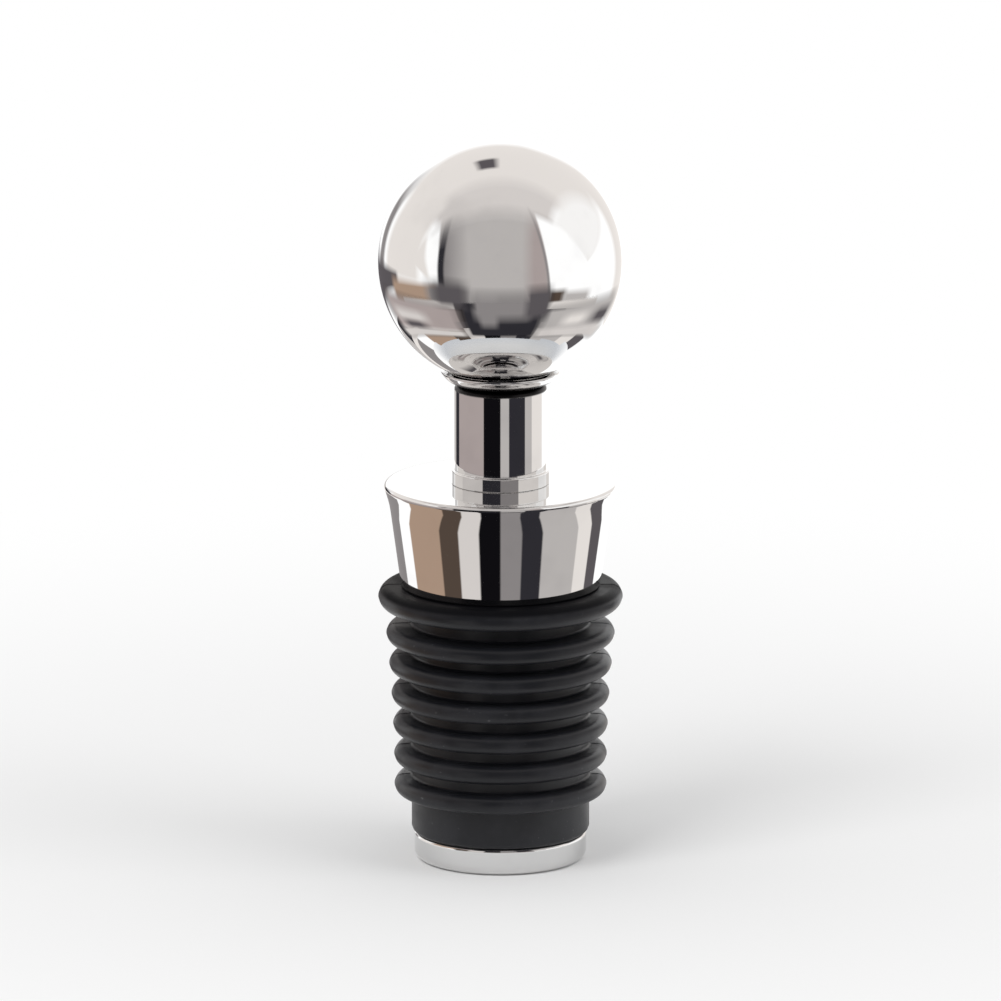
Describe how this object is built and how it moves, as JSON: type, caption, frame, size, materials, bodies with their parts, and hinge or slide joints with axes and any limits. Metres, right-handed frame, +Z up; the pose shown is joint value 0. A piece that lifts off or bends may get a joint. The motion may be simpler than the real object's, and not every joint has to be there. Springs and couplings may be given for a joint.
{
  "type": "wine stopper",
  "caption": "Chromed ball knob on a stem and tapered flange, over a black ribbed rubber plug that seals a wine bottle's mouth.",
  "frame": {"origin": "centre of the flat foot under the end cap", "axes": "+Z up along the axis, from the foot to the ball; X and Y are free, because the part is round"},
  "size_m": [0.0212, 0.0212, 0.0636],
  "materials": {
    "chrome": "mirror-polished chrome plate",
    "rubber": "moulded black rubber, satin",
    "steel": "zinc-plated, rolled thread"
  },
  "bodies": {
    "root": {"ball_knob": "chrome", "neck_stem": "chrome", "tapered_flange": "chrome", "ribbed_plug": "rubber", "end_cap": "chrome", "tie_stud": "steel"}
  },
  "joints": []
}
